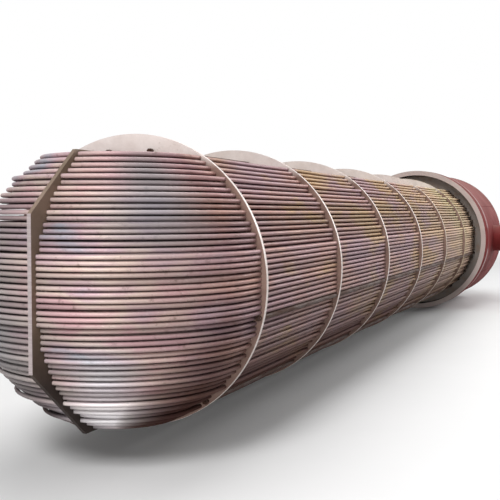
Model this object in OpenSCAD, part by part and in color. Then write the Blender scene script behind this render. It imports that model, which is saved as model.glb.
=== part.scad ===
// U-tube bundle of a shell-and-tube heat exchanger, drawn out of its shell and still on its channel.
// X runs across the bundle, Y from the bends to the channel, Z up. The axis of the bundle is the Y axis.

/* [Baffles] */
// outer diameter of the support baffles
baffle_d = 1194; // [1000:1:1400]
// thickness of each baffle plate
baffle_t = 16; // [10:1:25]
// distance from one baffle to the next
baffle_gap = 1000; // [800:10:1100]
// height of the flat cut at the foot of each baffle
foot_cut = 29; // [22:1:36]

/* [Tubes] */
// outer diameter of the tubes
tube_d = 16; // [12:0.5:17]
// distance between neighbouring tubes, square pattern
tube_pitch = 21.4; // [20.5:0.1:26]
// straight length of each leg, from the bend to the tube end
tube_straight = 6000; // [5800:10:6400]
// distance from the first baffle to the start of the bends
bend_gap = 70; // [40:1:120]
// play around a tube in a baffle hole, on the radius
baffle_play = 0.4; // [0.2:0.1:0.8]
// distance from the outermost tube to the rim of the baffle
rim_margin = 6; // [5:1:30]

/* [Bend plate] */
// thickness of the plate that carries the bends
bend_plate_t = 16; // [10:1:20]
// distance from the outermost bend to the front edge of the plate
bend_plate_margin = 8; // [6:1:20]
// play around a bend in the plate, on the radius
bend_play = 1.6; // [1.4:0.1:2.2]

/* [Tie rods] */
// diameter of the tie rods
rod_d = 12; // [8:1:14]
// outer diameter of the spacer sleeves on the rods
spacer_d = 22; // [18:1:24]
// distance of the top rods from the middle plane
rod_top_x = 97; // [60:1:140]
// distance from the sleeves and nuts on the flanks to the rim of the baffle
rod_edge = 5; // [2:0.5:6]
// width of the nuts across their corners
nut_d = 22; // [18:1:26]
// height of one nut
nut_t = 10; // [6:1:14]

/* [Skid rails] */
// width of a skid rail
rail_w = 40; // [25:1:50]
// thickness of a skid rail
rail_t = 20; // [12:1:24]
// distance of a rail from the middle plane
rail_x = 80; // [60:1:90]
// length of a rail ahead of the first baffle
rail_lead = 50; // [20:1:60]

/* [Tube sheet and skirt] */
// thickness of the tube sheet
sheet_t = 120; // [80:1:160]
// outer diameter of the tube sheet and of the shell skirt
skirt_d = 1400; // [1390:1:1500]
// wall of the shell skirt
skirt_t = 45; // [35:1:80]
// length of the shell skirt ahead of the tube sheet
skirt_len = 165; // [100:1:220]
// length of a tube end that stands out behind the tube sheet
tube_proud = 3; // [1:0.5:6]
// depth of a tie rod in the tube sheet
rod_seat = 40; // [25:1:60]

/* [Channel] */
// outer diameter of the channel barrel
barrel_d = 1380; // [1340:1:1390]
// wall of the channel barrel
barrel_t = 48; // [30:1:60]
// length of the channel barrel
barrel_len = 1130; // [950:10:1300]
// depth of the dished head, outside
head_depth = 345; // [280:5:420]
// thickness of the pass partition
partition_t = 20; // [12:1:30]

/* [Nozzles] */
// outer diameter of a nozzle neck
nozzle_d = 273; // [219:1:324]
// wall of a nozzle neck
nozzle_t = 13; // [8:1:20]
// distance from the barrel to the face of a nozzle flange
nozzle_len = 210; // [160:5:300]
// outer diameter of a nozzle flange
flange_d = 405; // [395:1:480]
// thickness of a nozzle flange
flange_t = 30; // [20:1:40]
// bolt circle of a nozzle flange
flange_pcd = 355; // [350:1:360]
// diameter of the holes in a nozzle flange
flange_hole_d = 26; // [20:1:28]

/* [Manway] */
// outer diameter of the manway neck
manway_d = 508; // [450:1:530]
// wall of the manway neck
manway_t = 20; // [12:1:30]
// length of the manway neck beyond the crown of the head
manway_len = 110; // [80:5:160]
// outer diameter of the manway flange and cover
cover_d = 700; // [690:1:780]
// thickness of the manway flange and of the cover
cover_t = 45; // [30:1:60]
// bolt circle of the manway cover
cover_pcd = 620; // [610:1:635]
// diameter of the manway studs
stud_d = 27; // [20:1:30]
// width of a stud nut across its corners
stud_nut_d = 46; // [40:1:54]
// height of a stud nut
stud_nut_t = 24; // [16:1:30]

/* [Hidden] */
$fn = 48;
// baffles on the tie rods
baffle_count = 6;
baffle_r = baffle_d / 2;
tube_r = tube_d / 2;
// centre of the outermost tubes, and the reach of their outer sides
field_r = baffle_r - rim_margin - tube_r;
field_reach = field_r + tube_r;
// rows of tubes, from the bottom row up
field_top_share = 0.83;
field_foot_share = 0.9;
rows_below = floor(field_foot_share * baffle_r / tube_pitch);
rows_above = floor(field_top_share * baffle_r / tube_pitch);
row_count = rows_below + rows_above + 1;
// tubes that show: whole rows at top and bottom, and the outer layers elsewhere
whole_rows = 2;
outer_layers = 2;
tier_count = 12;
// bend radius of the innermost tube, in tube pitches
first_bend_share = 1.5;
// tie rods: height of the top ones over the last row in pitches, angles of the others below the axis
rod_top_share = 1.5;
rod_flank_angle = 12.8;
rod_low_angle = 54.1;
rod_reach = max(spacer_d, nut_d) / 2;
rod_ring = baffle_r - rod_edge - rod_reach;
// stations along the axis
first_face = -baffle_t / 2;
tangent_y = first_face - bend_gap;
last_face = (baffle_count - 1) * baffle_gap + baffle_t / 2;
sheet_back = tangent_y + tube_straight - tube_proud;
sheet_front = sheet_back - sheet_t;
barrel_end = sheet_back + barrel_len;
// edges of the bend plate: nose and slanted edges lie at one distance from the start of the bends
plate_front = field_reach + bend_plate_margin;
plate_slant_angle = 49;
// foot of the baffles and of the rails
foot_z = foot_cut - baffle_r;
// clearances
seat_play = 0.3;
rod_play = 0.5;
sheet_play = 0.2;
// channel
skirt_r = skirt_d / 2;
barrel_r = barrel_d / 2;
barrel_bore = barrel_r - barrel_t;
side_plate_angle = 60;
head_bore_depth = head_depth - barrel_t;
head_steps = 24;
partition_steps = 12;
partition_reach_share = 0.6;
manway_bore = manway_d / 2 - manway_t;
// height of the inner dish where the manway neck comes through
manway_root = head_bore_depth * sqrt(1 - pow(manway_d / 2 / barrel_bore, 2));
manway_face = head_depth + manway_len;
stud_count = 20;
flange_holes = 12;
nozzle_y = (sheet_back + barrel_end) / 2;
nozzle_bore = nozzle_d / 2 - nozzle_t;
nozzle_face = barrel_r + nozzle_len;
// a nozzle neck starts inside the bore, where the curve of the barrel is deepest
nozzle_root = sqrt(pow(barrel_bore, 2) - pow(nozzle_d / 2, 2));
// ends of the whole part along the axis
front_y = tangent_y - plate_front;
back_y = barrel_end + manway_face + cover_t + stud_nut_t + seat_play;

// height of a row above the axis
function row_z(i) = (i - rows_below) * tube_pitch;
// tubes in a row, from the innermost out
function in_row(i) = floor(sqrt(pow(field_r, 2) - pow(row_z(i), 2)) / tube_pitch - first_bend_share) + 1;
// bend radius of a tube
function bend_r(k) = (k + first_bend_share) * tube_pitch;
// places of the tie rods on one side
rods = [
  [rod_top_x, row_z(row_count - 1) + rod_top_share * tube_pitch],
  rod_ring * [cos(rod_flank_angle), -sin(rod_flank_angle)],
  rod_ring * [cos(rod_low_angle), -sin(rod_low_angle)]
];
// places that are clear of the sleeves and nuts on the rods
function is_clear(x, z) = min([for (p = rods) norm([x, z] - p)]) > tube_r + rod_reach + rod_play;
// rows that show from above or below
function is_whole(i) = i < whole_rows || i >= row_count - whole_rows;
// tubes of a row that are made
function made(i) = [
  for (k = [0:in_row(i) - 1])
    if ((is_whole(i) || k >= in_row(i) - outer_layers) && is_clear(bend_r(k), row_z(i))) k
];
// bend radius and height of every tube that is made
u_tubes = [for (i = [0:row_count - 1]) for (k = made(i)) [bend_r(k), row_z(i)]];
// where a slanted edge of the bend plate meets its level edge
function plate_shoulder(z) =
  tangent_y - (plate_front - abs(z) * sin(plate_slant_angle)) / cos(plate_slant_angle);

// the part stands over the middle of its footprint, with the rim of the tube sheet at ground level
module place() {
  translate([0, -(front_y + back_y) / 2, skirt_r]) children();
}

// both sides of the middle plane
module both_sides() {
  children();
  mirror([1, 0, 0]) children();
}

// a flat shape in the XZ plane, drawn out along Y from a station
module along_y(from, length) {
  translate([0, from, 0]) rotate([-90, 0, 0]) linear_extrude(length) mirror([0, 1, 0]) children();
}

// holes for every tube leg
module leg_holes(play) {
  for (t = u_tubes, side = [-1, 1]) translate([side * t[0], t[1]]) circle(r = tube_r + play);
}

// holes for every tie rod
module rod_holes() {
  for (p = rods, side = [-1, 1]) translate([side * p[0], p[1]]) circle(d = rod_d + rod_play);
}

// a support baffle: round plate with a flat foot, drilled for the tubes and the tie rods
module baffle(n) {
  color("gainsboro") along_y((n - 1) * baffle_gap + first_face, baffle_t) difference() {
    circle(baffle_r);
    translate([-baffle_r, -baffle_d + foot_z]) square(baffle_d);
    leg_holes(baffle_play);
    rod_holes();
  }
}

// the plate on the middle plane that the bends pass through
module bend_plate() {
  top = row_z(row_count - 1) + tube_r + bend_plate_margin;
  foot = row_z(0) - tube_r - bend_plate_margin;
  nose = plate_front * tan(plate_slant_angle / 2);
  front = tangent_y - plate_front;
  upper = [[first_face, top], [plate_shoulder(top), top], [front, nose]];
  lower = [[front, -nose], [plate_shoulder(foot), foot], [first_face, foot]];
  color("tan") translate([-bend_plate_t / 2, 0, 0]) rotate([90, 0, 90]) linear_extrude(bend_plate_t)
    difference() {
      polygon(concat(upper, lower));
      for (t = u_tubes) translate([tangent_y - t[0], t[1]]) circle(r = tube_r + bend_play);
    }
}

// one U-tube: two straight legs joined by a half-round bend
module u_tube(r, z) {
  translate([0, tangent_y, z]) {
    rotate_extrude(angle = -180) translate([r, 0]) circle(tube_r);
    for (side = [-1, 1]) translate([side * r, 0, 0]) rotate([-90, 0, 0])
      cylinder(r = tube_r, h = tube_straight);
  }
}

// a tier of the bundle: the tubes of a few neighbouring rows
module tubes(n) {
  first = floor((n - 1) * row_count / tier_count);
  last = floor(n * row_count / tier_count) - 1;
  color("rosybrown") for (i = [first:last], k = made(i)) u_tube(bend_r(k), row_z(i));
}

// rods that hold the baffles on the tube sheet
module tie_rods() {
  start = first_face - 3 * nut_t;
  color("dimgray") both_sides() for (p = rods)
    translate([p[0], start, p[1]]) rotate([-90, 0, 0])
      cylinder(d = rod_d, h = sheet_front + rod_seat - start);
}

// a pair of locked nuts on the front end of each rod
module tie_nuts() {
  color("gray") both_sides() for (p = rods, n = [1, 2])
    along_y(first_face - n * nut_t, nut_t) translate(p) difference() {
      circle(d = nut_d, $fn = 6);
      circle(d = rod_d + rod_play);
    }
}

// one spacer sleeve on every rod
module spacer_set(from, length) {
  along_y(from, length) both_sides() for (p = rods) translate(p) difference() {
    circle(d = spacer_d);
    circle(d = rod_d + rod_play);
  }
}

// sleeves that keep the baffles apart
module spacers() {
  color("dimgray") {
    for (n = [1:baffle_count - 1])
      spacer_set((n - 1) * baffle_gap - first_face, baffle_gap - baffle_t);
    spacer_set(last_face, sheet_front - last_face);
  }
}

// a flat bar under the baffles, for sliding the bundle
module skid_rail(side) {
  start = first_face - rail_lead;
  color("darkgray") translate([side * rail_x - rail_w / 2, start, foot_z - rail_t])
    cube([rail_w, sheet_front - start, rail_t]);
}

// the thick plate that the tube ends are fixed in
module tube_sheet() {
  color("silver") difference() {
    along_y(sheet_front, sheet_t) difference() {
      circle(skirt_r);
      leg_holes(sheet_play);
    }
    both_sides() for (p = rods)
      translate([p[0], sheet_front - seat_play, p[1]]) rotate([-90, 0, 0])
        cylinder(d = rod_d + rod_play, h = rod_seat + 2 * seat_play);
  }
}

// the ring that the shell joins
module shell_skirt() {
  color("lightgray") along_y(sheet_front - skirt_len, skirt_len) difference() {
    circle(skirt_r);
    circle(skirt_r - skirt_t);
  }
}

// one of the four rolled plates of the barrel, centred on an angle from the X axis
module barrel_plate(middle, span) {
  color("brown") translate([0, sheet_back, 0]) rotate([-90, 0, 0]) rotate(middle - span / 2)
    rotate_extrude(angle = span) translate([barrel_bore, 0]) square([barrel_t, barrel_len]);
}

// a side plate of the barrel, open for its nozzle
module barrel_side() {
  difference() {
    barrel_plate(0, side_plate_angle);
    translate([0, nozzle_y, 0]) rotate([0, 90, 0]) cylinder(r = nozzle_d / 2 + seat_play, h = barrel_d);
  }
}

// points on a quarter ellipse, from the rim to the crown
function dish(r, depth, steps, end) =
  [for (i = [0:steps]) [r * cos(end * i / steps), depth * sin(end * i / steps)]];

// the dished head, open at the crown for the manway
module channel_head() {
  inner = dish(barrel_bore, head_bore_depth, head_steps, 90);
  back = [for (i = [head_steps:-1:0]) inner[i]];
  color("brown") translate([0, barrel_end, 0]) rotate([-90, 0, 0]) difference() {
    rotate_extrude() polygon(concat(dish(barrel_r, head_depth, head_steps, 90), back));
    cylinder(r = manway_d / 2 + seat_play, h = 2 * head_depth);
  }
}

// the upright plate between the inlet and the outlet side
module pass_partition() {
  reach = asin(partition_reach_share);
  curve = dish(barrel_bore - seat_play, head_bore_depth - seat_play, partition_steps, reach);
  upper = [for (p = curve) [barrel_end + p[1], p[0]]];
  lower = [for (i = [partition_steps:-1:0]) [upper[i][0], -upper[i][1]]];
  start = sheet_back + tube_proud + seat_play;
  color("sienna") translate([-partition_t / 2, 0, 0]) rotate([90, 0, 90]) linear_extrude(partition_t)
    polygon(concat([[start, upper[0][1]]], upper, lower, [[start, lower[partition_steps][1]]]));
}

// a set-in nozzle: neck and drilled flange
module nozzle() {
  color("firebrick") translate([0, nozzle_y, 0]) rotate([0, 90, 0]) {
    translate([0, 0, nozzle_root]) linear_extrude(nozzle_face - nozzle_root) difference() {
      circle(nozzle_d / 2);
      circle(nozzle_bore);
    }
    translate([0, 0, nozzle_face - flange_t]) linear_extrude(flange_t) difference() {
      circle(flange_d / 2);
      circle(nozzle_bore);
      for (i = [0:flange_holes - 1]) rotate((i + 1 / 2) * 360 / flange_holes)
        translate([flange_pcd / 2, 0]) circle(d = flange_hole_d);
    }
  }
}

// stations round the bolt circle of the manway
module at_studs() {
  for (i = [0:stud_count - 1]) rotate((i + 1 / 2) * 360 / stud_count)
    translate([cover_pcd / 2, 0]) children();
}

// neck and flange of the manway
module manway_neck() {
  color("firebrick") {
    along_y(barrel_end + manway_root, manway_face - manway_root) difference() {
      circle(manway_d / 2);
      circle(manway_bore);
    }
    along_y(barrel_end + manway_face - cover_t, cover_t) difference() {
      circle(cover_d / 2);
      circle(manway_bore);
      at_studs() circle(d = stud_d + 2 * rod_play);
    }
  }
}

// flat cover of the manway
module manway_cover() {
  color("brown") along_y(barrel_end + manway_face, cover_t) difference() {
    circle(cover_d / 2);
    at_studs() circle(d = stud_d + 2 * rod_play);
  }
}

// studs with a nut at each end
module manway_studs() {
  front = barrel_end + manway_face - cover_t;
  back = barrel_end + manway_face + cover_t;
  color("dimgray") {
    along_y(front - stud_nut_t - seat_play, 2 * (cover_t + stud_nut_t + seat_play))
      at_studs() circle(d = stud_d);
    along_y(front - stud_nut_t, stud_nut_t) at_studs() circle(d = stud_nut_d, $fn = 6);
    along_y(back, stud_nut_t) at_studs() circle(d = stud_nut_d, $fn = 6);
  }
}

place() baffle(1);  // baffle_1
place() baffle(2);  // baffle_2
place() baffle(3);  // baffle_3
place() baffle(4);  // baffle_4
place() baffle(5);  // baffle_5
place() baffle(6);  // baffle_6
place() bend_plate();
place() tubes(1);  // tubes_01
place() tubes(2);  // tubes_02
place() tubes(3);  // tubes_03
place() tubes(4);  // tubes_04
place() tubes(5);  // tubes_05
place() tubes(6);  // tubes_06
place() tubes(7);  // tubes_07
place() tubes(8);  // tubes_08
place() tubes(9);  // tubes_09
place() tubes(10);  // tubes_10
place() tubes(11);  // tubes_11
place() tubes(12);  // tubes_12
place() tie_rods();
place() tie_nuts();
place() spacers();
place() skid_rail(-1);  // skid_left
place() skid_rail(1);  // skid_right
place() tube_sheet();
place() shell_skirt();
place() barrel_plate(90, 180 - side_plate_angle);  // barrel_bottom
place() barrel_plate(-90, 180 - side_plate_angle);  // barrel_top
place() mirror([1, 0, 0]) barrel_side();  // barrel_left
place() barrel_side();  // barrel_right
place() channel_head();
place() pass_partition();
place() nozzle();  // inlet_nozzle
place() mirror([1, 0, 0]) nozzle();  // outlet_nozzle
place() manway_neck();
place() manway_cover();
place() manway_studs();
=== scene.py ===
"""U-tube bundle of a shell-and-tube heat exchanger, drawn out of its shell
and still on its red-primed channel."""
import math

import bpy
import numpy as np
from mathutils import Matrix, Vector


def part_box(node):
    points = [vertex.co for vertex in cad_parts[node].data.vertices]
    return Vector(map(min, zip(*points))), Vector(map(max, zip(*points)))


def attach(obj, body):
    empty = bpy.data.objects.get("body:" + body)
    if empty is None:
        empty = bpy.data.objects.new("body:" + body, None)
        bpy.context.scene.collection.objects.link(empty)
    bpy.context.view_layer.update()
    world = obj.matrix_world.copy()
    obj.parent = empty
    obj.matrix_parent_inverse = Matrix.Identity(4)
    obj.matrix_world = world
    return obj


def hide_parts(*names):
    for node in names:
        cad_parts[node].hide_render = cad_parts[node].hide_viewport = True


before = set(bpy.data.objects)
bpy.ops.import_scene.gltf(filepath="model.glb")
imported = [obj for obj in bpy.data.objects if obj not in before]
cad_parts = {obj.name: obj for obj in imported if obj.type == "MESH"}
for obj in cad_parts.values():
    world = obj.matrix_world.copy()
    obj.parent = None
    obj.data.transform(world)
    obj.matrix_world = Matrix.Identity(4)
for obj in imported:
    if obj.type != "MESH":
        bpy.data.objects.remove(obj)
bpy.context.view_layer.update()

# U-tubes. Cold-drawn steel tubes bent to hairpins, nested in level rows on a square pattern.
# Both ends of each are expanded into the tube sheet. Handling, pickling and storage leave a thin
# film on them, pinkish, grey or olive from place to place.
TUBE_R = 0.008
TUBE_PITCH = 0.0214
FIRST_BEND = 1.5  # radius of the innermost bend, in pitches
RIM_MARGIN = 0.006  # least plate left between a tube and the rim of a baffle
SHOWN_LAYERS = 2  # outermost hairpins of a row, which show from outside
SHOWN_ROWS = 2  # rows at the top and at the foot that show whole
ROD_INSET = 0.016  # middle of a tie rod inside the rim
ROD_ANGLES = np.radians([12.8, 54.1])  # tie rods below the axis, alike on both sides
ROD_CLEARANCE = 0.0195  # least distance from the middle of a tube to that of a tie rod
BEND_PLAY = 0.0011  # most that a bend tips up or down
NEST_TWIST = 0.0026  # most that an inner bend leans
LEAST_TWIST_SHARE = 0.8
SAG = 0.0014  # most that a leg sags between two baffles
LEAST_SAG_SHARE = 0.2
LEG_STATIONS = 21  # rings on a leg from the first baffle to the last, four steps to a bay
OUTER_BEND_STEPS = 28
OUTER_SIDES = 10
INNER_BEND_STEPS = 14
INNER_SIDES = 6
DRAW_SEED = 43
TIERS = [f"tubes_{n:02d}" for n in range(1, 13)]
BAFFLES = [f"baffle_{n}" for n in range(1, 7)]

sheet_low, sheet_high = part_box("tube_sheet")
axis_z = (sheet_low.z + sheet_high.z) / 2
tier_boxes = {name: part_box(name) for name in TIERS}
widest_low, widest_high = tier_boxes["tubes_07"]
tube_end_y = widest_high.y
bend_start_y = widest_low.y + widest_high.x
baffle_boxes = [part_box(name) for name in BAFFLES]
baffle_r = (baffle_boxes[0][1].x - baffle_boxes[0][0].x) / 2
baffle_y = np.array([(low.y + high.y) / 2 for low, high in baffle_boxes])
rows_below = round((axis_z - tier_boxes["tubes_01"][0].z - TUBE_R) / TUBE_PITCH)
rows_above = round((tier_boxes["tubes_12"][1].z - TUBE_R - axis_z) / TUBE_PITCH)
row_count = rows_below + rows_above + 1
drawing = np.random.default_rng(DRAW_SEED)


def row_height(row):
    """Height of a row over the axis: its count from the middle row times the pitch."""
    return (row - rows_below) * TUBE_PITCH


def tubes_in_row(row):
    """Hairpins in a row: half the chord of the tube field at that height, in pitches, less the first bend."""
    half_chord = math.sqrt((baffle_r - RIM_MARGIN - TUBE_R) ** 2 - row_height(row) ** 2)
    return math.floor(half_chord / TUBE_PITCH - FIRST_BEND) + 1


def clears_rods(place, row):
    """True where a hairpin's leg keeps off the tie rods.
    The rods stand on a ring inside the rim, at their angles below the axis."""
    rod_x, rod_z = (baffle_r - ROD_INSET) * np.array([np.cos(ROD_ANGLES), -np.sin(ROD_ANGLES)])
    leg_x = (place + FIRST_BEND) * TUBE_PITCH
    return np.hypot(rod_x - leg_x, rod_z - row_height(row)).min() > ROD_CLEARANCE


def hairpin_list(row):
    """(place from the inside, lean, height, shown or not) of every hairpin in a row off the tie rods.
    The outermost lies level. Inside it the bends lean to one side and the other by turns."""
    count = tubes_in_row(row)
    whole = row < SHOWN_ROWS or row >= row_count - SHOWN_ROWS
    listed = []
    for place in range(count):
        lean = 0 if place == count - 1 else 1 - 2 * (place % 2)
        if clears_rods(place, row):
            listed.append((place, lean, row_height(row), whole or place >= count - SHOWN_LAYERS))
    return listed


def hairpin_rings(hairpins, leg_y, bend_steps, sides):
    """Rings of points along hairpins, as (tube, station, side, xyz).
    The path runs down one leg, round the half circle x = r cos a, y = start - r sin a, and back up the other.
    Each leg sags between the baffles as a sine squared. Each bend tips as a sine of the turn, and
    twists as a sine of twice the turn: to the side that it leans to, or by chance if it lies level."""
    place, lean, height = np.array(hairpins, float)[:, :3].T[:, :, None]
    radius = (place + FIRST_BEND) * TUBE_PITCH
    tubes = len(radius)
    turn = np.concatenate([np.zeros(len(leg_y)), np.linspace(0, math.pi, bend_steps + 1)[1:-1],
                           np.full(len(leg_y), math.pi)])
    level = np.concatenate([leg_y[::-1], np.full(bend_steps - 1, bend_start_y), leg_y])
    bay = np.interp(level, baffle_y, np.arange(len(baffle_y)), right=len(baffle_y) - 1)
    sag = np.sin(math.pi * bay) ** 2 * drawing.uniform(LEAST_SAG_SHARE, 1.0, (tubes, 1)) * SAG
    tip = drawing.uniform(-BEND_PLAY, BEND_PLAY, (tubes, 1))
    twist = np.where(lean == 0, drawing.uniform(-BEND_PLAY, BEND_PLAY, (tubes, 1)),
                     lean * NEST_TWIST * drawing.uniform(LEAST_TWIST_SHARE, 1.0, (tubes, 1)))
    play = tip * np.sin(turn) + twist * np.sin(2 * turn)
    middle_z = height - sag + play + axis_z
    centre = np.stack([radius * np.cos(turn), level - radius * np.sin(turn), middle_z], -1)
    outward = np.stack([np.cos(turn), -np.sin(turn), np.zeros_like(turn)], -1)
    round_angle = np.arange(sides) * 2 * math.pi / sides
    out = np.cos(round_angle)[:, None]
    up = np.sin(round_angle)[:, None] * np.array([0, 0, 1.0])
    return centre[:, :, None, :] + TUBE_R * (out * outward[None, :, None, :] + up)


def swept_piece(name, rings, closed=False):
    """One object from rings of points, as (run, station, side, xyz): neighbouring rings are joined by quads.
    Open runs get a face over each end; closed runs join their last ring to their first."""
    runs, stations, sides, _ = rings.shape
    index = np.arange(runs * stations * sides).reshape(runs, stations, sides)
    here = index if closed else index[:, :-1]
    ahead = np.roll(index, -1, axis=1) if closed else index[:, 1:]
    quads = np.stack([here, np.roll(here, -1, 2), np.roll(ahead, -1, 2), ahead], -1).reshape(-1, 4).tolist()
    ends = [] if closed else index[:, 0, ::-1].tolist() + index[:, -1].tolist()
    mesh = bpy.data.meshes.new(name)
    mesh.from_pydata(rings.reshape(-1, 3), [], quads + ends)
    mesh.polygons.foreach_set("use_smooth", [True] * len(quads) + [False] * len(ends))
    piece = bpy.data.objects.new(name, mesh)
    bpy.context.collection.objects.link(piece)
    return piece


def put(tree, kind, inputs=None, **settings):
    """Adds a shader node, and sets or links its inputs by name or number."""
    node = tree.nodes.new("ShaderNode" + kind)
    for key, value in settings.items():
        setattr(node, key, value)
    for key, value in (inputs or {}).items():
        if isinstance(value, bpy.types.NodeSocket):
            tree.links.new(value, node.inputs[key])
        else:
            node.inputs[key].default_value = value
    return node


def place_on(tree, scale=(1, 1, 1), shift=(0, 0, 0)):
    """The object's own coordinates in metres, scaled and then shifted."""
    here = put(tree, "TexCoord").outputs["Object"]
    return put(tree, "Mapping", {"Vector": here, "Scale": scale, "Location": shift}).outputs[0]


def axes_of(tree):
    """The object's own coordinates one by one: outputs X, Y and Z."""
    return put(tree, "SeparateXYZ", {0: place_on(tree)}).outputs


def cloud(tree, where, scale, detail=4.0, rough=0.55):
    """Soft noise between 0 and 1."""
    inputs = {"Vector": where, "Scale": scale, "Detail": detail, "Roughness": rough}
    return put(tree, "TexNoise", inputs).outputs[0]


def ramp(tree, value, *stops):
    """Colours or greys along a value: each stop is (position, colour)."""
    node = put(tree, "ValToRGB", {0: value})
    marks = node.color_ramp.elements
    while len(marks) < len(stops):
        marks.new(0.5)
    for mark, (position, colour) in zip(marks, stops):
        mark.position = position
        mark.color = (*colour, 1) if isinstance(colour, tuple) else (colour, colour, colour, 1)
    return node.outputs[0]


def blend(tree, share, under, over, kind="MIX"):
    """Lays one colour over another by a share."""
    inputs = {0: share, 6: (*under, 1) if isinstance(under, tuple) else under,
              7: (*over, 1) if isinstance(over, tuple) else over}
    return put(tree, "Mix", inputs, data_type="RGBA", blend_type=kind).outputs[2]


def sum_of(tree, kind, first, second=0.5):
    """One arithmetic step on a number, or on two."""
    return put(tree, "Math", {0: first, 1: second}, operation=kind).outputs[0]


def new_finish(name, metallic, gloss=0.5):
    """A new material with its metallic and specular levels set: it, its node tree and its surface shader."""
    finish = bpy.data.materials.new(name)
    finish.use_nodes = True
    shader = finish.node_tree.nodes["Principled BSDF"]
    shader.inputs["Metallic"].default_value = metallic
    shader.inputs["Specular IOR Level"].default_value = gloss
    return finish, finish.node_tree, shader


BUMP_STRENGTH = 0.6


def surface(tree, shader, colour, rough, height, depth):
    """Links colour, roughness and a bump of that depth in metres to a shader."""
    tree.links.new(colour, shader.inputs["Base Color"])
    tree.links.new(rough, shader.inputs["Roughness"])
    bump = put(tree, "Bump", {"Height": height, "Strength": BUMP_STRENGTH, "Distance": depth})
    tree.links.new(bump.outputs[0], shader.inputs["Normal"])


def share_between(tree, value, start, end, low=0.0, high=1.0):
    """How far a value has gone from a start to an end, as 0 to 1 or from one given level to another."""
    return put(tree, "MapRange", {0: value, 1: start, 2: end, 3: low, 4: high}).outputs[0]


def spot(tree, centre, reach):
    """A soft round patch: 1 at its centre, 0 from its reach on."""
    away = put(tree, "VectorMath", {0: place_on(tree), 1: centre}, operation="DISTANCE").outputs["Value"]
    return put(tree, "MapRange", {0: away, 1: reach, 2: 0.0}, interpolation_type="SMOOTHSTEP").outputs[0]


LEVEL_PATCHES = (1, 1, 2.6)  # patches are squeezed in height, so that they lie level
LEG_FROM = math.radians(24)  # turn round the bend where the brown of the legs starts; on the bends it is partly painted shade of the side turned from the light
LEG_WHOLE = math.radians(72)
LEG_SHARE = 0.92
FILM_LEAD = 0.6  # olive film gathers from this far ahead of the bends' start
FILM_BY_LENGTH = 0.22
FILM_BY_HEIGHT = 0.08
FILM_RUN = 0.5  # length behind the bends over which it sets in
TAN_SHARE = 0.65
TUBE_SHADE_SHARE = 0.92
TUBE_SHADE_TOP_SHARE = 0.86  # painted shade on the bends stops this far below the axis, in baffle radii
TUBE_SHADE_FOOT_SHARE = 0.76  # and on the legs it is darkest from this far below the axis down
TUBE_SHADE_ROUGH = 0.9

# Soft round patches over the film: the middle, the reach, the share there and the colour. The first is
# painted shade, near black, on the low bends left of the bend plate. The second and third are a painted
# reflection of the floor, pale bluish grey and near white, on the low rows of the bends. The rest are grey,
# mauve and olive patches.
SPOTS_AND_PAINTED_LIGHT = [
    ((-0.18, bend_start_y - 0.26, axis_z - 0.46), 0.40, 0.95, (0.06, 0.045, 0.047)),
    ((0.19, bend_start_y - 0.45, axis_z - 0.30), 0.21, 0.80, (0.53, 0.54, 0.575)),
    ((0.12, bend_start_y - 0.33, axis_z - 0.49), 0.27, 0.96, (0.90, 0.90, 0.92)),
    ((0.36, bend_start_y - 0.37, axis_z + 0.31), 0.30, 0.75, (0.32, 0.335, 0.375)),
    ((0.13, bend_start_y - 0.36, axis_z + 0.47), 0.26, 0.70, (0.40, 0.255, 0.27)),
    ((0.27, bend_start_y - 0.28, axis_z + 0.45), 0.17, 0.75, (0.22, 0.225, 0.24)),
    ((0.32, baffle_y[5], axis_z + 0.40), 0.75, 0.70, (0.50, 0.46, 0.235)),
    ((-0.22, bend_start_y - 0.48, axis_z - 0.18), 0.42, 0.80, (0.27, 0.285, 0.30)),
    ((-0.28, bend_start_y - 0.45, axis_z + 0.15), 0.46, 0.85, (0.25, 0.23, 0.24)),
]


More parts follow.
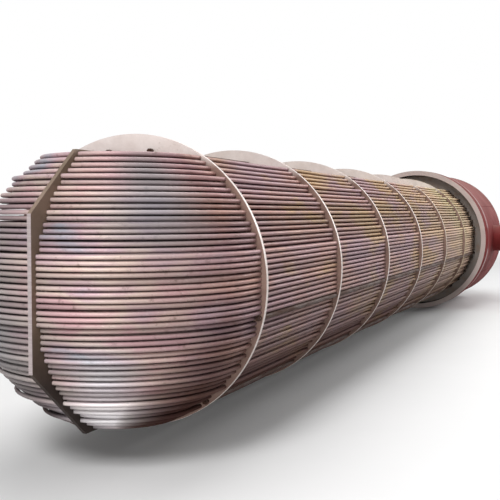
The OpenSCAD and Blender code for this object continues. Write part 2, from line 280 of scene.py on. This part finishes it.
def tube_film():
    """Drawn tube: level patches of pink, cream, mauve and grey on the bends, and of browns on the legs and,
    as painted shade, on the side of the bends turned from the light.
    Olive film gathers on the legs near the top and towards the tube sheet, where they also go tan.
    Over it lie rubbed streaks, rust freckles, film patches, painted shade and a painted reflection, then a
    tone for each tube, and painted shade at the foot."""
    finish, tree, shader = new_finish("tube_film", 0.2, 0.07)
    axes = axes_of(tree)
    along, height = axes["Y"], axes["Z"]
    patch = cloud(tree, place_on(tree, LEVEL_PATCHES), 2.6, 3.0)
    colour = ramp(tree, patch, (0.35, (0.58, 0.375, 0.385)), (0.46, (0.60, 0.49, 0.43)),
                  (0.55, (0.51, 0.365, 0.395)), (0.64, (0.38, 0.38, 0.43)))
    round_bend = sum_of(tree, "ARCTAN2", sum_of(tree, "ABSOLUTE", axes["X"]),
                        sum_of(tree, "SUBTRACT", bend_start_y, along))
    leg_and_shaded_bend = share_between(tree, round_bend, LEG_FROM, LEG_WHOLE)
    leg_patch = cloud(tree, place_on(tree, LEVEL_PATCHES, (2, 6, 3)), 2.2, 4.0)
    brown = ramp(tree, leg_patch, (0.36, (0.43, 0.25, 0.207)), (0.48, (0.375, 0.228, 0.22)),
                 (0.62, (0.36, 0.235, 0.265)))
    # The browns of the legs, laid on from part way round the bends, are also painted shade on the side of the
    # bends turned from the light.
    colour = blend(tree, sum_of(tree, "MULTIPLY", leg_and_shaded_bend, LEG_SHARE), colour, brown)

    olive = (0.46, 0.315, 0.15)
    by_length = share_between(tree, along, bend_start_y - FILM_LEAD, tube_end_y)
    by_height = share_between(tree, height, axis_z, axis_z + baffle_r)
    gather = sum_of(tree, "ADD", sum_of(tree, "MULTIPLY", by_length, FILM_BY_LENGTH),
                    sum_of(tree, "MULTIPLY", by_height, FILM_BY_HEIGHT))
    film_depth = sum_of(tree, "ADD", cloud(tree, place_on(tree, LEVEL_PATCHES, (5, 2, 1)), 2.3, 5.0), gather)
    behind = share_between(tree, along, bend_start_y, bend_start_y + FILM_RUN)
    film_share = sum_of(tree, "MULTIPLY", ramp(tree, film_depth, (0.59, 0.0), (0.72, 0.78)), behind)
    colour = blend(tree, film_share, colour, olive)
    tan = (0.68, 0.51, 0.375)
    far = share_between(tree, along, baffle_y[3], baffle_y[5])
    colour = blend(tree, sum_of(tree, "MULTIPLY", far, TAN_SHARE), colour, tan)

    rubbed = (0.62, 0.54, 0.51)
    streak = cloud(tree, place_on(tree, (60, 2.2, 60)), 3.0, 5.0)
    colour = blend(tree, ramp(tree, streak, (0.54, 0.0), (0.78, 0.5)), colour, rubbed)
    rust = (0.13, 0.075, 0.06)
    freckle = ramp(tree, cloud(tree, place_on(tree, (1, 0.35, 1)), 38.0, 6.0, 0.7), (0.58, 0.0), (0.72, 0.7))
    colour = blend(tree, freckle, colour, rust)
    # Lays the patches on in turn, painted shade and painted reflection among them.
    for place, reach, share, tint in SPOTS_AND_PAINTED_LIGHT:
        spot_share = sum_of(tree, "MULTIPLY", spot(tree, place, reach), share)
        colour = blend(tree, spot_share, colour, tint)
    tone = put(tree, "Attribute", attribute_name="film_tone").outputs["Fac"]
    tube_tint = ramp(tree, tone, (0.0, (0.72, 0.70, 0.70)), (0.5, (0.98, 0.96, 0.97)),
                     (1.0, (1.20, 1.17, 1.16)))
    colour = blend(tree, 1.0, colour, tube_tint, "MULTIPLY")

    # Painted shade under the bundle: dark red-brown on the underside of the legs and the foot of the bends,
    # where the bundle is in its own shadow. The roughness rises with it.
    painted_shade = (0.046, 0.015, 0.008)
    painted_shade_top = share_between(tree, leg_and_shaded_bend, 0.0, 1.0, axis_z - TUBE_SHADE_TOP_SHARE * baffle_r, axis_z)
    painted_shade_foot = share_between(tree, leg_and_shaded_bend, 0.0, 1.0, axis_z - baffle_r, axis_z - TUBE_SHADE_FOOT_SHARE * baffle_r)
    low = share_between(tree, height, painted_shade_foot, painted_shade_top, TUBE_SHADE_SHARE, 0.0)
    colour = blend(tree, low, colour, painted_shade)
    rough = ramp(tree, streak, (0.3, 0.52), (0.8, 0.38))
    rough = sum_of(tree, "MAXIMUM", rough, sum_of(tree, "MULTIPLY", low, TUBE_SHADE_ROUGH))
    surface(tree, shader, colour, rough, cloud(tree, place_on(tree, (1, 0.2, 1)), 260.0), 0.0004)
    return finish


film = tube_film()


def keep_hairpins(name, hairpins, leg_y, bend_steps, sides):
    """Makes one piece of hairpins, writes a tone for each on all its points, and fixes them to the part."""
    rings = hairpin_rings(hairpins, leg_y, bend_steps, sides)
    piece = swept_piece(name, rings)
    tones = np.repeat(drawing.random(len(hairpins)), rings.shape[1] * rings.shape[2])
    attribute = piece.data.attributes.new("film_tone", "FLOAT", "POINT")
    attribute.data.foreach_set("value", tones.astype(np.float32))
    piece.data.materials.append(film)
    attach(piece, "root")
    return piece


straight_leg = np.array([bend_start_y, tube_end_y])
leg_in_baffles = np.linspace(baffle_y[0], baffle_y[-1], LEG_STATIONS)
sagging_leg = np.concatenate([[bend_start_y], leg_in_baffles, [tube_end_y]])
inner = []
for tier in TIERS:
    low, high = tier_boxes[tier]
    tier_rows = [row for row in range(row_count) if low.z < axis_z + row_height(row) < high.z]
    listed = [hairpin for row in tier_rows for hairpin in hairpin_list(row)]
    inner += [hairpin for hairpin in listed if not hairpin[3]]
    outer = [hairpin for hairpin in listed if hairpin[3]]
    hairpins = keep_hairpins("hairpins_" + tier[-2:], outer, sagging_leg, OUTER_BEND_STEPS, OUTER_SIDES)
    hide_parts(tier)
keep_hairpins("hairpins_core", inner, straight_leg, INNER_BEND_STEPS, INNER_SIDES)


# Baffles. Round steel plates, stacked and drilled together, with a flat foot for the skid bars.
# The rim is turned bright to slide into the shell; the faces keep their mill scale and a bloom of rust.
RIM_SKIN = 0.0012  # a point this little inside a turned rim counts as on it
BROWN_FROM_OVER = 0.01  # the face turns brown from this far over the top row of tubes
BROWN_WHOLE_UNDER = 0.05  # and is wholly brown from this far under it
DULL_LEAD = 0.1  # rims dull from this far behind the fourth baffle
field_top_z = tier_boxes["tubes_12"][1].z


def dress(node, finish):
    """Gives a CAD node one finish all over."""
    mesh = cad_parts[node].data
    mesh.materials.clear()
    mesh.materials.append(finish)


def distance_from_axis(tree):
    """Distance of a point from the long axis of the bundle."""
    flat = place_on(tree, (1, 0, 1), (0, 0, -axis_z))
    return put(tree, "VectorMath", {0: flat}, operation="LENGTH").outputs["Value"]


def drilled_plate():
    """Bare plate: cream where it stands over the tubes, darker brown beside and below them.
    Rust lies in freckles. The turned rim is bright on the first plates and dulls to olive
    towards the tube sheet."""
    finish, tree, shader = new_finish("drilled_plate", 0.3, 0.35)
    axes = axes_of(tree)
    scale = ramp(tree, cloud(tree, place_on(tree), 9.0, 6.0, 0.62), (0.35, 0.0), (0.66, 1.0))
    cream = blend(tree, scale, (0.85, 0.775, 0.74), (0.71, 0.63, 0.59))
    brown = blend(tree, scale, (0.29, 0.19, 0.155), (0.21, 0.13, 0.105))
    browned = share_between(tree, axes["Z"], field_top_z + BROWN_FROM_OVER, field_top_z - BROWN_WHOLE_UNDER)
    colour = blend(tree, browned, cream, brown)
    rust = (0.34, 0.24, 0.17)
    bloom = ramp(tree, cloud(tree, place_on(tree), 23.0, 8.0, 0.7), (0.60, 0.0), (0.75, 0.6))
    colour = blend(tree, bloom, colour, rust)
    turned = blend(tree, cloud(tree, place_on(tree, (1, 9, 1)), 14.0), (0.86, 0.78, 0.75), (0.68, 0.60, 0.56))
    dull_olive = (0.46, 0.38, 0.24)
    dulled = share_between(tree, axes["Y"], baffle_y[3] + DULL_LEAD, baffle_y[5])
    turned = blend(tree, dulled, turned, dull_olive)
    rim = sum_of(tree, "GREATER_THAN", distance_from_axis(tree), baffle_r - RIM_SKIN)
    colour = blend(tree, rim, colour, turned)
    rough = ramp(tree, scale, (0.0, 0.42), (1.0, 0.6))
    surface(tree, shader, colour, rough, cloud(tree, place_on(tree), 180.0, 5.0), 0.0006)
    return finish


plate_finish = drilled_plate()
for baffle in BAFFLES:
    dress(baffle, plate_finish)


# Bend plate. One flame-cut plate on the middle plane, welded to the front of the first baffle.
# The bends are threaded through it, so that they cannot shake. Its faces are brown; the cut nose is bright.
FACE_SKIN = 0.0009  # a point this little behind a bare face counts as on it
PLATE_SHADE_FROM_SHARE = 0.2  # painted shade darkens the plate between these depths below the axis, in baffle radii
PLATE_SHADE_WHOLE_SHARE = 0.55
PLATE_SHADE_SHARE = 0.95
plate_low, plate_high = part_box("bend_plate")


def scaled_plate():
    """Brown plate with darker patches and rust, and painted shade that makes it darkest at the foot.
    The straight nose edge is bright, with drag lines of the cut."""
    finish, tree, shader = new_finish("scaled_plate", 0.3, 0.3)
    axes = axes_of(tree)
    patch = ramp(tree, cloud(tree, place_on(tree), 5.5, 6.0, 0.6), (0.36, 0.0), (0.64, 1.0))
    colour = blend(tree, patch, (0.225, 0.16, 0.12), (0.16, 0.115, 0.08))
    rust = (0.14, 0.085, 0.055)
    bloom = ramp(tree, cloud(tree, place_on(tree), 30.0, 7.0, 0.7), (0.55, 0.0), (0.72, 0.7))
    colour = blend(tree, bloom, colour, rust)
    # Painted shade on the lower part of the plate, under the bends.
    painted_shade = (0.032, 0.021, 0.018)
    low = share_between(tree, axes["Z"], axis_z - PLATE_SHADE_FROM_SHARE * baffle_r,
                        axis_z - PLATE_SHADE_WHOLE_SHARE * baffle_r)
    colour = blend(tree, sum_of(tree, "MULTIPLY", low, PLATE_SHADE_SHARE), colour, painted_shade)
    drag = cloud(tree, place_on(tree, (6, 260, 260)), 1.0, 3.0)
    cut = blend(tree, ramp(tree, drag, (0.3, 0.0), (0.7, 1.0)), (0.48, 0.41, 0.41), (0.36, 0.30, 0.30))
    nose = sum_of(tree, "LESS_THAN", axes["Y"], plate_low.y + FACE_SKIN)
    colour = blend(tree, nose, colour, cut)
    rough = ramp(tree, patch, (0.0, 0.5), (1.0, 0.66))
    surface(tree, shader, colour, rough, cloud(tree, place_on(tree), 120.0, 6.0), 0.0008)
    return finish


dress("bend_plate", scaled_plate())

WELD_R = 0.006
RIPPLE_PITCH = 0.009
RIPPLE_SHARE = 0.14  # share of the bead's radius that swells and shrinks
SEAM_INSET = 0.02  # seam ends short of the plate's corners
SEAM_STATIONS = 380
SEAM_SIDES = 10


def bead_rings(path, side, sides):
    """Rings of a weld bead along paths of points, as (run, station, side, xyz).
    Each ring turns from a given direction across the path.
    Its radius swells once per ripple, as the size of a sine of the distance run."""
    ahead = np.gradient(path, axis=1)
    side = np.broadcast_to(side, path.shape)
    lift = np.cross(ahead / np.linalg.norm(ahead, axis=2, keepdims=True), side)
    steps = np.linalg.norm(np.diff(path, axis=1), axis=2)
    run = np.concatenate([np.zeros((len(path), 1)), np.cumsum(steps, 1)], 1)
    swell = WELD_R * (1 - RIPPLE_SHARE + RIPPLE_SHARE * np.abs(np.sin(math.pi * run / RIPPLE_PITCH)))
    turn = np.arange(sides) * 2 * math.pi / sides
    ring = np.cos(turn)[:, None] * side[:, :, None, :] + np.sin(turn)[:, None] * lift[:, :, None, :]
    return path[:, :, None, :] + swell[:, :, None, None] * ring


def weld_metal():
    """Weld bead: grey-brown with dark specks of slag."""
    finish, tree, shader = new_finish("weld_metal", 0.6)
    slag = cloud(tree, place_on(tree), 90.0, 5.0)
    colour = blend(tree, ramp(tree, slag, (0.4, 0.0), (0.65, 1.0)), (0.37, 0.31, 0.28), (0.20, 0.15, 0.125))
    surface(tree, shader, colour, ramp(tree, slag, (0.3, 0.38), (0.7, 0.6)), slag, 0.0006)
    return finish


def straight_paths(starts, ends, stations):
    """Points along straight lines, as (run, station, xyz): each is a share of its two ends."""
    share = np.linspace(0, 1, stations)[None, :, None]
    return np.array(starts)[:, None, :] * (1 - share) + np.array(ends)[:, None, :] * share


def keep_bead(piece, finish):
    """Finishes a weld bead and fixes it to the part."""
    piece.data.materials.append(finish)
    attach(piece, "root")


bead_finish = weld_metal()
first_face_y = baffle_boxes[0][0].y
seam_x = (plate_low.x, plate_high.x)
seam = straight_paths([(x, first_face_y, plate_high.z - SEAM_INSET) for x in seam_x],
                      [(x, first_face_y, plate_low.z + SEAM_INSET) for x in seam_x], SEAM_STATIONS)
rings = bead_rings(seam, (1, 0, 0), SEAM_SIDES)
keep_bead(swept_piece("bend_plate_seams", rings), bead_finish)


# Tie rods. Round bars screwed into the tube sheet, with sleeves that space the baffles and two locked
# nuts on the front of the first one. They are plain bar and pipe, dull and brown from storage.
def dull_bar():
    """Dull bar and pipe: dark brown with rust freckles and a few rubbed streaks along the length."""
    finish, tree, shader = new_finish("dull_bar", 0.2, 0.1)
    rust = ramp(tree, cloud(tree, place_on(tree, (1, 0.3, 1)), 32.0, 7.0, 0.68), (0.4, 0.0), (0.65, 1.0))
    colour = blend(tree, rust, (0.07, 0.041, 0.032), (0.065, 0.03, 0.02))
    rubbed = ramp(tree, cloud(tree, place_on(tree, (40, 1.5, 40)), 3.0), (0.58, 0.0), (0.75, 0.6))
    colour = blend(tree, rubbed, colour, (0.13, 0.095, 0.08))
    rough = ramp(tree, rust, (0.0, 0.45), (1.0, 0.75))
    surface(tree, shader, colour, rough, cloud(tree, place_on(tree), 200.0, 6.0), 0.0006)
    return finish


bar_finish = dull_bar()
for bar in ("tie_rods", "tie_nuts", "spacers"):
    dress(bar, bar_finish)


# Skid bars. Two hot-rolled flats under the feet of the baffles, which carry the bundle as it slides.
# Their undersides are scraped bright; a short fillet on each side of every baffle holds them.
FILLET_INSET = 0.004  # fillet ends short of the bar's edges
FILLET_STATIONS = 14
FILLET_SIDES = 8
rail_boxes = [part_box("skid_left"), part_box("skid_right")]
rail_foot_z = rail_boxes[0][0].z


def rolled_flat():
    """Hot-rolled flat: brown scale in two tones, and a scraped underside with scores along the bar."""
    finish, tree, shader = new_finish("rolled_flat", 0.45)
    scale = ramp(tree, cloud(tree, place_on(tree, (1, 0.4, 1)), 12.0, 6.0), (0.38, 0.0), (0.64, 1.0))
    colour = blend(tree, scale, (0.29, 0.24, 0.21), (0.20, 0.14, 0.11))
    scores = ramp(tree, cloud(tree, place_on(tree, (160, 0.8, 1)), 2.0, 5.0), (0.4, 0.0), (0.62, 1.0))
    scraped = blend(tree, scores, (0.34, 0.29, 0.27), (0.55, 0.50, 0.48))
    underside = sum_of(tree, "LESS_THAN", axes_of(tree)["Z"], rail_foot_z + FACE_SKIN)
    colour = blend(tree, underside, colour, scraped)
    rough = ramp(tree, scale, (0.0, 0.44), (1.0, 0.68))
    surface(tree, shader, colour, rough, cloud(tree, place_on(tree), 150.0, 6.0), 0.0006)
    return finish


flat_finish = rolled_flat()
for rail in ("skid_left", "skid_right"):
    dress(rail, flat_finish)
foot_z = baffle_boxes[0][0].z
face_y = [y for low, high in baffle_boxes for y in (low.y, high.y)]
fillets = straight_paths([(low.x + FILLET_INSET, y, foot_z) for low, _ in rail_boxes for y in face_y],
                         [(high.x - FILLET_INSET, y, foot_z) for _, high in rail_boxes for y in face_y],
                         FILLET_STATIONS)
rings = bead_rings(fillets, (0, 1, 0), FILLET_SIDES)
keep_bead(swept_piece("skid_fillets", rings), bead_finish)


# Tube sheet and shell skirt. A forged disc, drilled for the tubes and turned all over, with a thick ring
# ahead of it that the shell is welded to. The ring's end is machined bright; its outside is primed.
SKIRT_WALL = 0.045
TURNING_RINGS = 900.0  # tool marks to a metre
skirt_low, skirt_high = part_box("shell_skirt")
skirt_r = (skirt_high.x - skirt_low.x) / 2


def red_primer(tree):
    """Colour and roughness of brushed red oxide: lighter and darker laps, dust and painted top light on
    upward faces, and scuffs that go grey."""
    laps = ramp(tree, cloud(tree, place_on(tree), 4.5, 6.0, 0.6), (0.34, 0.0), (0.68, 1.0))
    colour = blend(tree, laps, (0.20, 0.025, 0.025), (0.135, 0.019, 0.018))
    # Upward faces go lighter: partly dust, partly painted light from above.
    dust = (0.27, 0.165, 0.145)
    up = put(tree, "SeparateXYZ", {0: put(tree, "NewGeometry").outputs["Normal"]}).outputs["Z"]
    upward = ramp(tree, up, (0.25, 0.0), (0.95, 0.8))
    dust_and_top_light = sum_of(tree, "MULTIPLY", upward, cloud(tree, place_on(tree), 9.0, 7.0))
    colour = blend(tree, dust_and_top_light, colour, dust)
    scuffed = (0.26, 0.20, 0.185)
    scuff = ramp(tree, cloud(tree, place_on(tree, (1, 1, 2.4)), 26.0, 8.0, 0.72), (0.64, 0.0), (0.72, 0.75))
    colour = blend(tree, scuff, colour, scuffed)
    return colour, ramp(tree, laps, (0.0, 0.62), (1.0, 0.78))


def turned_forging():
    """Turned forging: grey-brown steel with fine rings about the axis and a brown bloom.
    Its rim is primed."""
    finish, tree, shader = new_finish("turned_forging", 0.4, 0.2)
    away = distance_from_axis(tree)
    rings = put(tree, "TexNoise", {"W": sum_of(tree, "MULTIPLY", away, TURNING_RINGS), "Scale": 1.0},
                noise_dimensions="1D").outputs[0]
    colour = blend(tree, rings, (0.30, 0.26, 0.235), (0.20, 0.165, 0.145))
    bloom = ramp(tree, cloud(tree, place_on(tree), 16.0, 7.0, 0.65), (0.5, 0.0), (0.72, 0.8))
    colour = blend(tree, bloom, colour, (0.27, 0.18, 0.13))
    primer, _ = red_primer(tree)
    colour = blend(tree, sum_of(tree, "GREATER_THAN", away, skirt_r - RIM_SKIN), colour, primer)
    surface(tree, shader, colour, ramp(tree, bloom, (0.0, 0.36), (1.0, 0.6)), rings, 0.0003)
    return finish


def primed_ring():
    """Skirt: primer outside, a machined end in two bright tones, and a bare bore painted near black as shade.
    """
    finish, tree, shader = new_finish("primed_ring", 0.0, 0.04)
    colour, rough = red_primer(tree)
    # The bore is painted near black as shade: it lies in the shadow of the bundle and the skirt.
    bare_steel_or_bore_shade = blend(tree, cloud(tree, place_on(tree), 11.0, 6.0), (0.036, 0.026, 0.02), (0.02, 0.015, 0.012))
    bore = sum_of(tree, "LESS_THAN", distance_from_axis(tree), skirt_r - SKIRT_WALL / 2)
    colour = blend(tree, bore, colour, bare_steel_or_bore_shade)
    turned = blend(tree, cloud(tree, place_on(tree), 8.0, 6.0), (0.70, 0.60, 0.57), (0.52, 0.41, 0.385))
    end = sum_of(tree, "LESS_THAN", axes_of(tree)["Y"], skirt_low.y + FACE_SKIN)
    colour = blend(tree, end, colour, turned)
    surface(tree, shader, colour, rough, cloud(tree, place_on(tree), 90.0, 6.0), 0.0008)
    return finish


dress("tube_sheet", turned_forging())
dress("shell_skirt", primed_ring())


# Channel. A barrel of four rolled plates and a pressed dished head, welded to the back of the tube sheet
# and primed all over; an upright plate inside parts the inlet side from the outlet side.
SIDE_PLATE_HALF = math.radians(30)  # half the turn that each side plate of the barrel takes up
BEAD_SINK = 0.003  # middle of a bead under the surface that it is laid on
ROUND_STATIONS = 1200
JOINT_STATIONS = 500
CHANNEL_BEAD_SIDES = 8
barrel_low, barrel_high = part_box("barrel_right")
barrel_r = barrel_high.x


def primed_shell():
    """Primer over rolled plate, with brush marks in the bump."""
    finish, tree, shader = new_finish("primed_shell", 0.0, 0.12)
    colour, rough = red_primer(tree)
    surface(tree, shader, colour, rough, cloud(tree, place_on(tree, (1, 1, 4)), 45.0, 7.0, 0.65), 0.0012)
    return finish


primer_finish = primed_shell()
for shell_piece in ("barrel_bottom", "barrel_top", "barrel_left", "barrel_right", "channel_head"):
    dress(shell_piece, primer_finish)
dress("pass_partition", flat_finish)


def round_seam(name, radius, y):
    """A weld bead round the axis: a circle of that radius at one station, with ripples along it."""
    turn = np.linspace(0, 2 * math.pi, ROUND_STATIONS + 1)[:-1]
    away = np.stack([np.cos(turn), np.zeros_like(turn), np.sin(turn)], -1)[None]
    path = away * radius + np.array([0, y, axis_z])
    rings = bead_rings(path, away, CHANNEL_BEAD_SIDES)
    keep_bead(swept_piece(name, rings, closed=True), primer_finish)


round_seam("skirt_seam", skirt_r - BEAD_SINK, sheet_low.y)
round_seam("barrel_seam", barrel_r, sheet_high.y)
round_seam("head_seam", barrel_r - BEAD_SINK, barrel_high.y)
joint = np.array([SIDE_PLATE_HALF, math.pi - SIDE_PLATE_HALF, math.pi + SIDE_PLATE_HALF, -SIDE_PLATE_HALF])
away = np.stack([np.cos(joint), np.zeros_like(joint), np.sin(joint)], -1)
joints = straight_paths(away * (barrel_r - BEAD_SINK) + np.array([0, barrel_low.y, axis_z]),
                        away * (barrel_r - BEAD_SINK) + np.array([0, barrel_high.y, axis_z]), JOINT_STATIONS)
rings = bead_rings(joints, away[:, None], CHANNEL_BEAD_SIDES)
keep_bead(swept_piece("barrel_joints", rings), primer_finish)


# Nozzles. Pipe stubs set into the barrel on both sides and welded round, each with a drilled flange.
# They are primed with the channel; the flange faces are left bare for the gasket.
NOZZLE_R = 0.1365
NOZZLE_STATIONS = 300
nozzle_low, nozzle_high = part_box("inlet_nozzle")
nozzle_y = (nozzle_low.y + nozzle_high.y) / 2


def primed_flange():
    """Primer, with the sealing face away from the middle plane bare: steel in two tones."""
    finish, tree, shader = new_finish("primed_flange", 0.0, 0.12)
    colour, rough = red_primer(tree)
    bare_steel_or_bore_shade = blend(tree, cloud(tree, place_on(tree), 14.0, 6.0), (0.62, 0.56, 0.54), (0.44, 0.36, 0.33))
    across = sum_of(tree, "ABSOLUTE", axes_of(tree)["X"])
    sealing = sum_of(tree, "GREATER_THAN", across, nozzle_high.x - FACE_SKIN)
    colour = blend(tree, sealing, colour, bare_steel_or_bore_shade)
    surface(tree, shader, colour, rough, cloud(tree, place_on(tree), 90.0, 6.0), 0.0008)
    return finish


flange_finish = primed_flange()
for nozzle, side in (("inlet_nozzle", 1), ("outlet_nozzle", -1)):
    dress(nozzle, flange_finish)
    turn = side * np.linspace(0, 2 * math.pi, NOZZLE_STATIONS + 1)[:-1]
    away = np.stack([np.zeros_like(turn), np.cos(turn), np.sin(turn)], -1)
    reach = np.sqrt(barrel_r ** 2 - (NOZZLE_R * np.sin(turn)) ** 2)
    saddle = np.stack([side * reach, np.full_like(turn, nozzle_y), np.full_like(turn, axis_z)], -1)
    path = away * NOZZLE_R + saddle
    rings = bead_rings(path[None], away, CHANNEL_BEAD_SIDES)
    keep_bead(swept_piece(nozzle.split("_")[0] + "_seam", rings, closed=True), primer_finish)


# Manway. A short neck in the crown of the head, closed by a flat cover on studs.
# Neck and cover are primed with the channel; the bolting is black.
def black_bolting():
    """Black bolting: dark oxide with dust in patches."""
    finish, tree, shader = new_finish("black_bolting", 0.6)
    dust = ramp(tree, cloud(tree, place_on(tree), 60.0, 6.0), (0.45, 0.0), (0.7, 0.8))
    colour = blend(tree, dust, (0.14, 0.13, 0.125), (0.30, 0.25, 0.22))
    rough = ramp(tree, dust, (0.0, 0.4), (1.0, 0.7))
    surface(tree, shader, colour, rough, cloud(tree, place_on(tree), 300.0), 0.0003)
    return finish


for manway_piece in ("manway_neck", "manway_cover"):
    dress(manway_piece, primer_finish)
dress("manway_studs", black_bolting())


# Floor, light and camera. A pale floor that fades to white far out, under plain soft studio light.
# The camera stands about a metre over the floor, ahead of the bends and to the right of the bundle.
FLOOR_HALF = 40.0
FLOOR_ROUGH = 0.9
FADE_FROM = 6.0  # distances from the middle of the floor
FADE_WHOLE = 16.0
SCATTER_TINT = (0.34, 0.33, 0.32)  # the floor as scattered light meets it
FILL_STRENGTH = 0.32
floor_mesh = bpy.data.meshes.new("floor")
floor_mesh.from_pydata([(-FLOOR_HALF, -FLOOR_HALF, 0), (FLOOR_HALF, -FLOOR_HALF, 0),
                        (FLOOR_HALF, FLOOR_HALF, 0), (-FLOOR_HALF, FLOOR_HALF, 0)], [], [(0, 1, 2, 3)])
floor = bpy.data.objects.new("floor", floor_mesh)
bpy.context.collection.objects.link(floor)


def looked_at(tree):
    """1 for what the camera sees, by itself or in a mirror or glass, and 0 for light that is scattered."""
    path = put(tree, "LightPath").outputs
    mirrored = sum_of(tree, "ADD", path["Is Glossy Ray"], path["Is Transmission Ray"])
    return sum_of(tree, "ADD", path["Is Camera Ray"], mirrored)


def pale_floor():
    """Pale floor, faintly mottled, which gives way to plain white between two distances from its middle."""
    finish, tree, shader = new_finish("pale_floor", 0.0)
    shader.inputs["Roughness"].default_value = FLOOR_ROUGH
    pale = blend(tree, cloud(tree, place_on(tree), 1.5), (0.86, 0.86, 0.86), (0.82, 0.82, 0.82))
    tree.links.new(blend(tree, looked_at(tree), SCATTER_TINT, pale), shader.inputs["Base Color"])
    far_out = put(tree, "VectorMath", {0: place_on(tree)}, operation="LENGTH").outputs["Value"]
    faded = sum_of(tree, "MULTIPLY", share_between(tree, far_out, FADE_FROM, FADE_WHOLE), looked_at(tree))
    backdrop = put(tree, "Emission", {"Color": (1, 1, 1, 1), "Strength": 1.0})
    mixed = put(tree, "MixShader", {0: faded, 1: shader.outputs[0], 2: backdrop.outputs[0]})
    tree.links.new(mixed.outputs[0], tree.nodes["Material Output"].inputs["Surface"])
    return finish


floor_mesh.materials.append(pale_floor())


def soft_light(name, place, target, size, watts):
    """A square lamp at a place, turned to a target."""
    lamp = bpy.data.lights.new(name, "AREA")
    lamp.size = size
    lamp.energy = watts
    holder = bpy.data.objects.new(name, lamp)
    holder.location = place
    holder.rotation_euler = (Vector(target) - Vector(place)).to_track_quat("-Z", "Y").to_euler()
    bpy.context.collection.objects.link(holder)


middle = (0, 0, axis_z)
nose = (0, widest_low.y, axis_z)
nose_foot = (0.1, widest_low.y, axis_z - 0.5)
soft_light("key_light", (1.2, -10.5, 6.5), nose, 3.0, 500)
soft_light("low_light", (0.9, -8.0, 0.45), nose_foot, 0.8, 50)
soft_light("side_light", (6.0, 7.5, 5.0), middle, 5.0, 510)
soft_light("top_light", (-0.5, 0.0, 7.5), middle, 7.0, 400)

world = bpy.data.worlds.new("studio")
world.use_nodes = True
bpy.context.scene.world = world
sky = world.node_tree
fill = sky.nodes["Background"]
fill.inputs["Color"].default_value = (1, 1, 1, 1)
fill.inputs["Strength"].default_value = FILL_STRENGTH
white = put(sky, "Background", {"Color": (1, 1, 1, 1), "Strength": 1.0})
mixed = put(sky, "MixShader", {0: looked_at(sky), 1: fill.outputs[0], 2: white.outputs[0]})
sky.links.new(mixed.outputs[0], sky.nodes["World Output"].inputs["Surface"])

CAMERA_FROM_BAFFLE = Vector((1.786, -3.024, 0.278))  # from the middle of the first baffle
CAMERA_PAN = math.radians(22.67)
CAMERA_TILT = math.radians(2.54)
FOCAL_PIXELS = 849
FRAME_PIXELS = 500
camera = bpy.data.cameras.new("camera")
camera.sensor_width = 36.0
camera.lens = FOCAL_PIXELS / FRAME_PIXELS * camera.sensor_width
camera.clip_end = 200
tripod = bpy.data.objects.new("camera", camera)
tripod.location = Vector((0, baffle_y[0], axis_z)) + CAMERA_FROM_BAFFLE
ahead = Vector((-math.sin(CAMERA_PAN) * math.cos(CAMERA_TILT), math.cos(CAMERA_PAN) * math.cos(CAMERA_TILT),
                -math.sin(CAMERA_TILT)))
tripod.rotation_euler = ahead.to_track_quat("-Z", "Y").to_euler()
bpy.context.collection.objects.link(tripod)
bpy.context.scene.camera = tripod
bpy.context.scene.view_settings.view_transform = "Standard"
